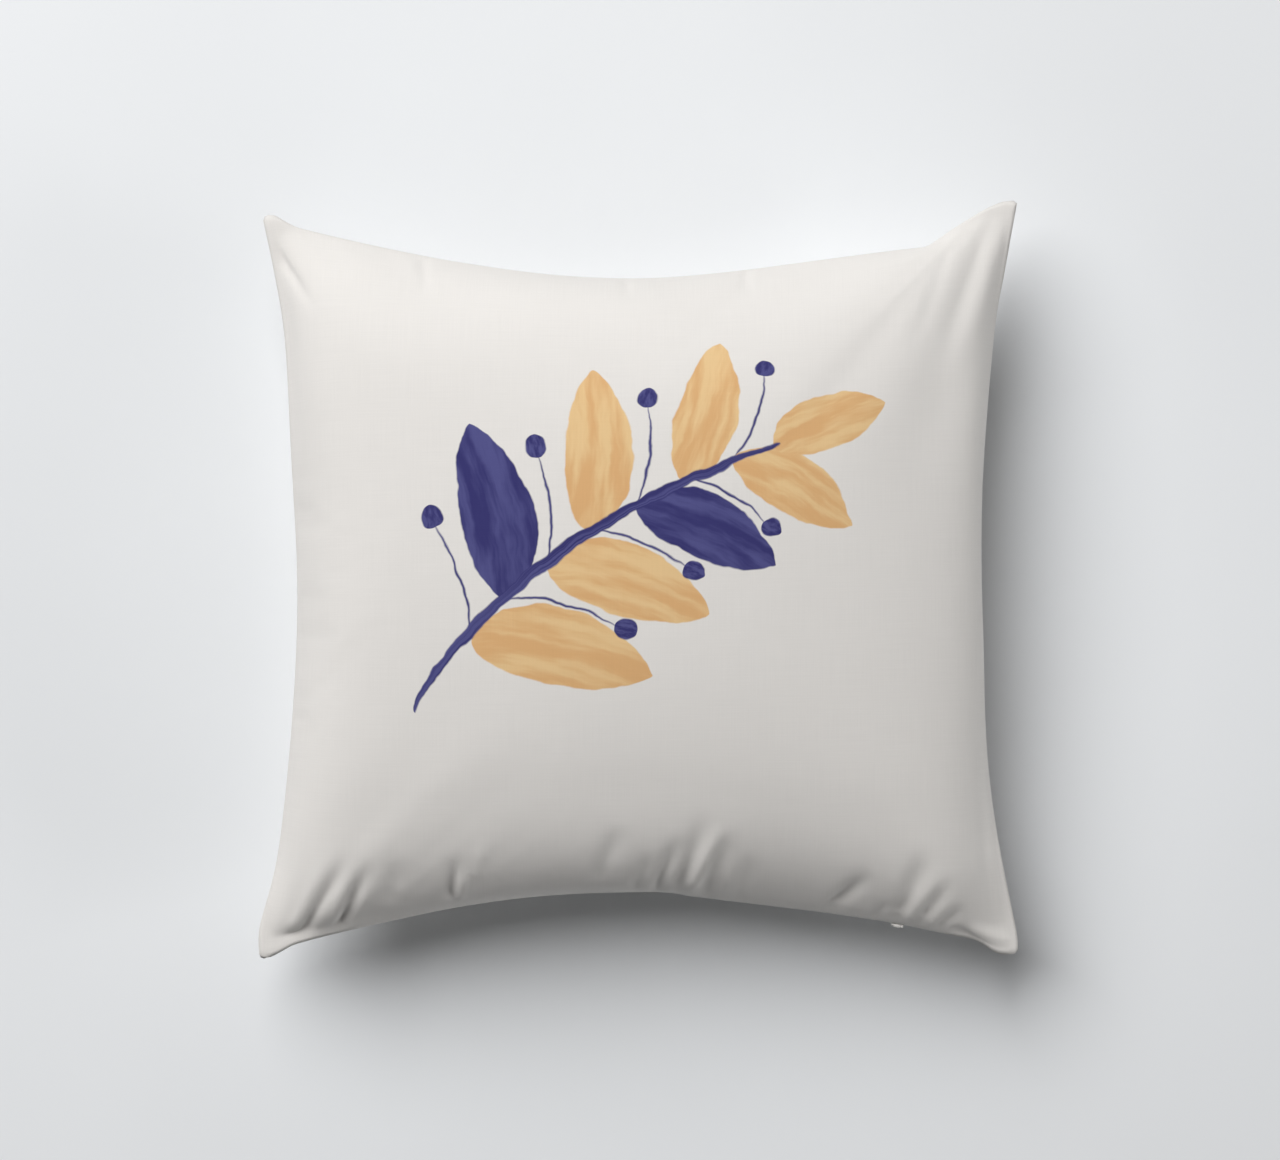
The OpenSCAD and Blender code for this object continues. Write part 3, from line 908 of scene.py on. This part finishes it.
def sprig(design):
    """The print's shapes: place, angle, length, width, bend, fullness and whether it is dark."""
    turn = design.stem_turn
    along = Vector((math.cos(turn), math.sin(turn)))
    aside = Vector((-along.y, along.x))
    foot = Vector(design.centre) - along * design.stem_l / 2 - aside * design.stem_bow * 0.6

    def on_stem(share):
        bow = design.stem_bow * 4 * share * (1 - share)
        return foot + along * design.stem_l * share + aside * bow

    def climb(share):
        return turn + math.atan(design.stem_bow * 4 * (1 - 2 * share) / design.stem_l)

    shapes = []
    for number in range(design.leaves):
        share = 0.2 + 0.7 * number / (design.leaves - 1)
        way = 1 if number % 2 else -1
        spot = on_stem(share)
        size = 1 - 0.34 * share
        length = design.leaf_l * size
        stalk = climb(share) - way * math.radians(62 - 12 * share)
        stalk_l = 0.62 * length
        berry = spot + stalk_l * Vector((math.cos(stalk), math.sin(stalk)))
        berry_w = design.leaf_w * (0.29 - 0.07 * share)
        leaf = climb(share) + way * math.radians(64 - 16 * share)
        dark = number % 3 == 1
        shapes.append((spot, stalk, stalk_l + 2, design.stem_w / 3, way * 2.0, 0.3, True))
        shapes.append((berry, stalk, berry_w, berry_w, 0.0, 0.5, True))
        shapes.append((spot, leaf, length, design.leaf_w * size, way * -0.12, 0.72, dark))
    shapes.append((on_stem(0.985), climb(1) + math.radians(4), design.leaf_l * 0.62,
                   design.leaf_w * 0.66, 0.06, 0.72, False))
    shapes.append((foot, turn, design.stem_l, design.stem_w,
                   design.stem_bow / design.stem_w, 0.3, True))
    return shapes


def printed(tree, places, ground, design):
    """The ground colour with the sprig painted over it."""
    drift = new_node(tree, "ShaderNodeTexNoise", None,
                     {"Vector": places, "Scale": 0.06, "Detail": 2.5}).outputs["Color"]
    centred = vector_calc(tree, "SUBTRACT", drift, (0.5, 0.5, 0.5))
    wobbly = vector_calc(tree, "MULTIPLY_ADD", centred, (6, 6, 0), places)
    color = ground
    for number, (spot, turn, length, width, bend, fullness, dark) in enumerate(sprig(design)):
        local = new_node(tree, "ShaderNodeMapping", {"vector_type": "TEXTURE"}, {
            "Vector": wobbly, "Location": (*spot, 0), "Rotation": (0, 0, turn),
            "Scale": (length, width, 1)}).outputs[0]
        shape = use_group(tree, "Painted shape", painted_shape, {
            "Vector": local, "Bend": bend, "Fullness": fullness,
            "Sharpness": width / 0.9, "Seed": 3.7 * number})
        thick, thin = (design.navy, design.slate) if dark else (design.ochre, design.sand)
        paint = mixed(tree, shape["Stroke"], rgba(thick), rgba(thin))
        color = mixed(tree, shape["Mask"], color, paint)
    return color


def cover_cloth(name, cover, design=None):
    """Off-white cotton in a plain weave, with or without its print."""
    material, tree, shader = new_material(name)
    places = cloth_places(tree)
    weave = weave_at(tree, places, cover.pitch)
    ground = mixed(tree, ranged(tree, noise(tree, places, 0.012), 0.3, 0.7),
                   rgba([0.985 * c for c in cover.color]), rgba(cover.color))
    color = printed(tree, places, ground, design) if design else ground
    toned(tree, shader, color, weave["Tone"], (0.98, 1.015), (0.94, 0.86))
    set_constants(shader, {
        "Sheen Weight": 0.12, "Sheen Roughness": 0.5, "Specular IOR Level": 0.25})
    yarn = calc(tree, "MULTIPLY_ADD", weave["Tone"], 0.5, weave["Height"])
    bump(tree, shader, yarn, 0.12 * MM, 0.6)
    return material


def woven(name, color, pitch, depth):
    """Plain woven or non-woven goods of one colour, on places in the frame."""
    material, tree, shader = new_material(name)
    weave = weave_at(tree, object_places(tree), pitch)
    toned(tree, shader, rgba(color), weave["Tone"], (0.92, 1.03), (0.95, 0.85))
    set_constants(shader, {"Sheen Weight": 0.1})
    bump(tree, shader, weave["Height"], depth)
    return material


def fibrous(name, color, scale, depth):
    """Loose or twisted fibre, on places in the frame."""
    material, tree, shader = new_material(name)
    places = object_places(tree)
    strands = noise(tree, scaled(tree, places, (1, 0.18, 1)), scale, 6.0, 0.65)
    toned(tree, shader, rgba(color), strands, (0.86, 1.04), (0.95, 0.8))
    set_constants(shader, {"Sheen Weight": 0.3})
    bump(tree, shader, strands, depth)
    return material


def lacquered(name, color, rough, depth):
    """Nylon or lacquered metal of one colour, faintly mottled, on places in the frame."""
    material, tree, shader = new_material(name)
    places = object_places(tree)
    mottle = noise(tree, places, 1.3, 3.0)
    grain = noise(tree, places, 9.0, 2.0)
    toned(tree, shader, rgba(color), mottle, (0.95, 1.03), (rough - 0.06, rough + 0.06))
    bump(tree, shader, grain, depth)
    return material


# Operators, one for each piece or group of like pieces


SIDES = (("front", 1), ("back", -1))
# The filled cover's two sides as grids of points, which the pieces inside it follow
FILLED = {}


class CUSHION_OT_cover(Operator):
    """Sews, fills and dresses the two panels of the cover"""

    bl_idname = "cushion.cover"
    bl_label = "Cover"

    def execute(self, context):
        cover = context.scene.cushion_cover
        design = context.scene.cushion_print
        fine = np.linspace(-1, 1, cover.fine_cells + 1)
        front, back = [resampled(half, fine) for half in filled_cover(cover)]
        back[..., 2] = settled(back[..., 2])
        front = rolled_out(front, 1, cover)
        back = rolled_out(back, -1, cover)
        FILLED.update(front=front.copy(), back=back.copy())
        front += fold_heights(front[..., :2], cover)[..., None] * normals(front, 1)
        printed_cloth = cover_cloth("Printed cotton", cover, design)
        plain_cloth = cover_cloth("Plain cotton", cover)
        top = cover_panel("cover_front", 1, front, cover)
        under = cover_panel("cover_back", -1, back, cover)
        finish_piece(top, "cushion", "cover_cloth", printed_cloth, "front_panel")
        finish_piece(under, "cushion", "cover_cloth", plain_cloth, "back_panel")
        return {"FINISHED"}


class CUSHION_OT_insert(Operator):
    """Puts the insert's sewn case and its fibre inside the cover"""

    bl_idname = "cushion.insert"
    bl_label = "Insert"

    def execute(self, context):
        inside = context.scene.cushion_inside
        case_cloth = woven("Non-woven lining", inside.case_color, 0.9, 0.06 * MM)
        fibre = fibrous("Polyester fibre", inside.fibre_color, 0.25, 0.8 * MM)
        sheet = quads(point_ids(inside.cells))
        flat = np.stack(even_grid(inside.cells), axis=-1).reshape(-1, 2) * CLOTH_SPAN / 2
        for side, way in SIDES:
            half = inner_half(way, FILLED[side], inside.case_share, inside.gap, inside.cells)
            half[..., 2] += way * CASE_GAP
            case = sheet_piece(
                f"insert_case_{side}", half.reshape(-1, 3), sheet[:, ::way], flat, inside.case_t)
            finish_piece(case, "cushion", "lining_cloth", case_cloth, f"insert_{side}")
        self.add_fibre(inside, flat, fibre)
        return {"FINISHED"}

    def add_fibre(self, inside, flat, fibre):
        """The loose fibre as one closed, clumped body."""
        edge = on_edge(inside.cells)
        clumps = np.random.default_rng(11).normal(0, inside.clump, (2, *edge.shape))
        halves = []
        for (side, way), clump in zip(SIDES, clumps):
            half = inner_half(way, FILLED[side], inside.fill_share, 2 * inside.gap, inside.cells)
            half -= (np.abs(clump) * ~edge)[..., None] * normals(half, way)
            halves.append(half)
        points, faces, _ = closed_body(*halves, edge)
        places = np.concatenate([flat, flat[~edge.ravel()]])
        body = sheet_piece("fibre_fill", points, faces, places, 0)
        finish_piece(body, "cushion", "fibre", fibre, "filling")


def stitched_thread(name, line, height, threads):
    """A thread that runs along a line in even stitches, dipping at each end of a stitch."""
    lengths = run_lengths(line)
    stitches = int(lengths[-1] / threads.stitch_l)
    places = (np.arange(stitches)[:, None] + np.array(STITCH_PLACES)).ravel()
    places *= lengths[-1] / stitches
    dips = np.tile(STITCH_DIPS, stitches) * threads.radius * np.sign(height)
    curve = bpy.data.curves.new(name, "CURVE")
    curve.dimensions = "3D"
    curve.bevel_depth = threads.radius
    curve.bevel_resolution = 1
    curve.use_fill_caps = True
    run = curve.splines.new("POLY")
    run.points.add(len(places) - 1)
    points = np.column_stack([np.interp(places, lengths, line[:, 0]),
                              np.interp(places, lengths, line[:, 1]), SEAM_H + height + dips])
    run.points.foreach_set("co", np.column_stack([drooped(points), np.ones(len(places))]).ravel())
    only(placed(name, curve))
    bpy.ops.object.convert(target="MESH")
    bpy.ops.object.shade_smooth()
    return bpy.context.object


class CUSHION_OT_stitches(Operator):
    """Runs the stitches of the cover's seam and of the insert's seam"""

    bl_idname = "cushion.stitches"
    bl_label = "Stitches"

    def execute(self, context):
        threads = context.scene.cushion_thread
        cover = context.scene.cushion_cover
        inside = context.scene.cushion_inside
        twist = fibrous("Sewing thread", threads.color, 2.0, 0.05 * MM)
        seam = inset_line(seam_ring(cover.fine_cells)[1], threads.inset)
        sewn = np.flatnonzero(zip_share(seam) < 0.01)
        # The run starts where the zip ends, so the border's places are turned round to there
        start = np.flatnonzero(np.diff(sewn) > 1)[0] + 1
        line = seam[np.roll(sewn, -start)]
        for name, height in (("needle", cover.cloth_t), ("bobbin", -cover.cloth_t)):
            thread = stitched_thread(f"seam_{name}_thread", line, height, threads)
            finish_piece(thread, "cushion", "thread", twist, "seam_thread")
        case = inner_half(1, FILLED["front"], inside.case_share, inside.gap, inside.cells)
        case_edge = border(point_ids(inside.cells))
        loop = case.reshape(-1, 3)[np.append(case_edge, case_edge[0])][:, :2] * CASE_STITCHES
        closing = stitched_thread("insert_seam_thread", loop, inside.case_t, threads)
        finish_piece(closing, "cushion", "thread", twist, "insert_thread")
        return {"FINISHED"}


class CUSHION_OT_zip(Operator):
    """Winds the zip's coils and finishes its tapes, stops and stitches"""

    bl_idname = "cushion.zip"
    bl_label = "Zip"

    def execute(self, context):
        zip_values = context.scene.cushion_zip
        thread_color = context.scene.cushion_thread.color
        nylon = lacquered("Nylon coil", zip_values.color, 0.45, 0.01 * MM)
        tape = woven("Zip tape", zip_values.color, 0.7, 0.08 * MM)
        lacquer = lacquered("Lacquered metal", zip_values.color, 0.35, 0.004 * MM)
        twist = fibrous("Zip thread", thread_color, 2.0, 0.05 * MM)
        for side in ("front", "back"):
            coil = self.wound_coil(f"zip_coil_{side}", zip_values)
            finish_piece(coil, "cushion", "zip_coil", nylon, f"zip_coil_{side}")
            finish_node(f"zip_tape_{side}", tape)
        for name in ("zip_closed_stop", "zip_open_stop", "zip_slider"):
            finish_node(name, lacquer)
        finish_node("zip_thread", twist)
        return {"FINISHED"}

    def wound_coil(self, node, zip_values):
        """One loop of wire, repeated along the zip's arc."""
        low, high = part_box(node)
        radius = high.y - COIL_DEPTH / 2 - ZIP_CENTRE.y
        wire = zip_values.wire_r
        unit_wire = 0.1
        scale = (wire / unit_wire, COIL_DEPTH - 2 * wire, high.z - low.z - 2 * wire)
        coil = ring(f"{node}_loops", 12, 6, 0.5, unit_wire, scale)
        half_angle = math.asin(high.x / (high.y - ZIP_CENTRE.y)) - wire / radius
        step = zip_values.coil_pitch / radius
        coil.location = (0, radius, (low.z + high.z) / 2)
        bpy.ops.object.transform_apply(location=True)
        coil.rotation_euler = (0, 0, half_angle)
        bpy.ops.object.transform_apply(rotation=True)
        coil.location = (0, ZIP_CENTRE.y, 0)
        pivot = placed("turn", None)
        pivot.location = coil.location
        pivot.rotation_euler = (0, 0, -step)
        bpy.context.view_layer.update()
        apply_modifier(coil, "ARRAY", use_relative_offset=False, use_object_offset=True,
                       offset_object=pivot, count=int(2 * half_angle / step) + 1)
        bpy.data.objects.remove(pivot)
        bpy.ops.object.transform_apply(location=True)
        bpy.ops.object.shade_smooth()
        return coil


class CUSHION_OT_pull(Operator):
    """Models the drop-shaped pull on the slider's bar"""

    bl_idname = "cushion.pull"
    bl_label = "Pull"

    def execute(self, context):
        zip_values = context.scene.cushion_zip
        lacquer = lacquered("Lacquered pull", zip_values.color, 0.3, 0.004 * MM)
        low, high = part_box("zip_pull")
        drop = self.drop(low, high, zip_values)
        finish_piece(drop, "pull", "zip_metal", lacquer, "zip_pull")
        return {"FINISHED"}

    def drop(self, low, high, zip_values):
        """A plate that widens from its eye to a round end, with a shallow dimple on each face."""
        eye_r = high.z - PULL_BAR.z
        length = PULL_BAR.z - low.z
        end_r = PULL_W / 2
        straight = length - end_r
        # The plate ends in the middle of the eye's wall, clear of the bar in it
        top = straight - (eye_r - EYE_T / 2)
        bpy.ops.object.select_all(action="DESELECT")
        bpy.ops.mesh.primitive_cylinder_add(
            vertices=48, radius=end_r, depth=PULL_T, rotation=(math.pi / 2, 0, 0))
        drop = bpy.context.object
        drop.name = "zip_pull_drop"
        bpy.ops.object.transform_apply(rotation=True)
        for vertex in drop.data.vertices:
            if vertex.co.z > 0:
                vertex.co.x *= EYE_W / PULL_W
                vertex.co.z = top + 0.3 * (vertex.co.z - end_r)
        bpy.ops.object.mode_set(mode="EDIT")
        bpy.ops.mesh.select_mode(type="FACE")
        bpy.ops.mesh.select_all(action="DESELECT")
        bpy.ops.object.mode_set(mode="OBJECT")
        for face in drop.data.polygons:
            face.select = abs(face.normal.y) > 0.9
        bpy.ops.object.mode_set(mode="EDIT")
        bpy.ops.mesh.inset(thickness=0.01 * MM, use_individual=True)
        bpy.ops.transform.resize(
            value=(0.66, 0.56, 0.84), center_override=(0, 0, (top - end_r) / 2))
        bpy.ops.object.mode_set(mode="OBJECT")
        apply_modifier(
            drop, "BEVEL", width=zip_values.pull_bevel, segments=3, limit_method="ANGLE")
        drop.location = (0, 0, -straight)
        bpy.ops.object.transform_apply(location=True)
        eye = ring("eye", 40, 16, eye_r - EYE_T / 2, EYE_T / 2, (EYE_W / EYE_T, 1, 1))
        apply_modifier(drop, "BOOLEAN", operation="UNION", solver="MANIFOLD", object=eye)
        bpy.data.objects.remove(eye)
        turn = math.atan2(PULL_AXIS.y, PULL_AXIS.x) - math.pi
        drop.matrix_world = Matrix.Translation(PULL_BAR) @ Matrix.Rotation(turn, 4, "Z")
        bpy.ops.object.transform_apply(location=True, rotation=True)
        bpy.ops.object.shade_smooth_by_angle(angle=math.radians(40))
        return drop


class CUSHION_OT_stage(Operator):
    """Lays the floor and sets the light and the camera"""

    bl_idname = "cushion.stage"
    bl_label = "Stage"

    def execute(self, context):
        stage = context.scene.cushion_stage
        self.floor(stage)
        self.light(stage)
        self.camera(stage)
        context.scene.view_settings.view_transform = "Standard"
        return {"FINISHED"}

    def floor(self, stage):
        """A plain pale floor."""
        bpy.ops.object.select_all(action="DESELECT")
        bpy.ops.mesh.primitive_plane_add(size=stage.floor_size)
        floor = bpy.context.object
        floor.name = "floor"
        material, tree, shader = new_material("Pale floor")
        mottle = noise(tree, object_places(tree), 0.004)
        shade = ranged(tree, mottle, 0.3, 0.7, 0.99, 1.01)
        tree.links.new(mixed(tree, 1.0, rgba(stage.floor_color), shade, "MULTIPLY"),
                       shader.inputs["Base Color"])
        set_constants(shader, {"Roughness": 0.9, "Specular IOR Level": 0})
        floor.data.materials.append(material)

    def light(self, stage):
        """A softbox to the upper left, a bounce card across from it, and an even fill."""
        for name, place, size, power in (
                ("softbox", LIGHT_FROM, stage.light_size, stage.light_power),
                ("card", CARD_FROM, stage.light_size / 2, stage.card_power)):
            lamp = bpy.data.lights.new(name, "AREA")
            lamp.shape = "DISK"
            lamp.size = size
            lamp.energy = power
            box = placed(name, lamp)
            box.location = place.normalized() * stage.light_away
            box.rotation_euler = (-place).to_track_quat("-Z", "Y").to_euler()
            box.visible_camera = False
        world = bpy.data.worlds.new("studio")
        world.use_nodes = True
        bpy.context.scene.world = world
        tree = world.node_tree
        sky = tree.nodes["Background"]
        sky.inputs["Color"].default_value = (1, 1, 1, 1)
        path = new_node(tree, "ShaderNodeLightPath").outputs
        bright = calc(tree, "MAXIMUM", path["Is Glossy Ray"], path["Is Transmission Ray"])
        seen = calc(tree, "MAXIMUM", path["Is Camera Ray"], bright)
        strength = calc(tree, "MULTIPLY_ADD", seen, BACKDROP - stage.fill, stage.fill)
        tree.links.new(strength, sky.inputs["Strength"])

    def camera(self, stage):
        """Straight down on the cushion."""
        lens = bpy.data.cameras.new("camera")
        lens.sensor_width = 36
        lens.lens = lens.sensor_width * (stage.camera_h - SEAM_H) / stage.view_w
        eye = placed("camera", lens)
        eye.location = (*stage.view_centre, stage.camera_h)
        bpy.context.scene.camera = eye


OPERATORS = (CUSHION_OT_stage, CUSHION_OT_cover, CUSHION_OT_insert, CUSHION_OT_stitches,
             CUSHION_OT_zip, CUSHION_OT_pull)


class CUSHION_PT_panel(Panel):
    """Lists the cushion's settings and operators"""

    bl_idname = "CUSHION_PT_panel"
    bl_label = "Scatter cushion"
    bl_space_type = "VIEW_3D"
    bl_region_type = "UI"
    bl_category = "Cushion"

    def draw(self, context):
        for name, group in SETTINGS.items():
            box = self.layout.box()
            box.label(text=group.__name__)
            values = getattr(context.scene, name)
            for prop in group.__annotations__:
                box.prop(values, prop)
        for operator in OPERATORS:
            self.layout.operator(operator.bl_idname)


def register():
    """Registers the settings, the operators and the panel."""
    for kind in (*SETTINGS.values(), *OPERATORS, CUSHION_PT_panel):
        bpy.utils.register_class(kind)
    for name, group in SETTINGS.items():
        setattr(bpy.types.Scene, name, PointerProperty(type=group))


def unregister():
    """Undoes what register does."""
    for name in SETTINGS:
        delattr(bpy.types.Scene, name)
    for kind in (CUSHION_PT_panel, *reversed(OPERATORS), *SETTINGS.values()):
        bpy.utils.unregister_class(kind)


def main():
    """Builds the cushion and its stage."""
    register()
    bpy.ops.cushion.stage()
    bpy.ops.cushion.cover()
    bpy.ops.cushion.insert()
    bpy.ops.cushion.stitches()
    bpy.ops.cushion.zip()
    bpy.ops.cushion.pull()


if __name__ == "__main__":
    main()
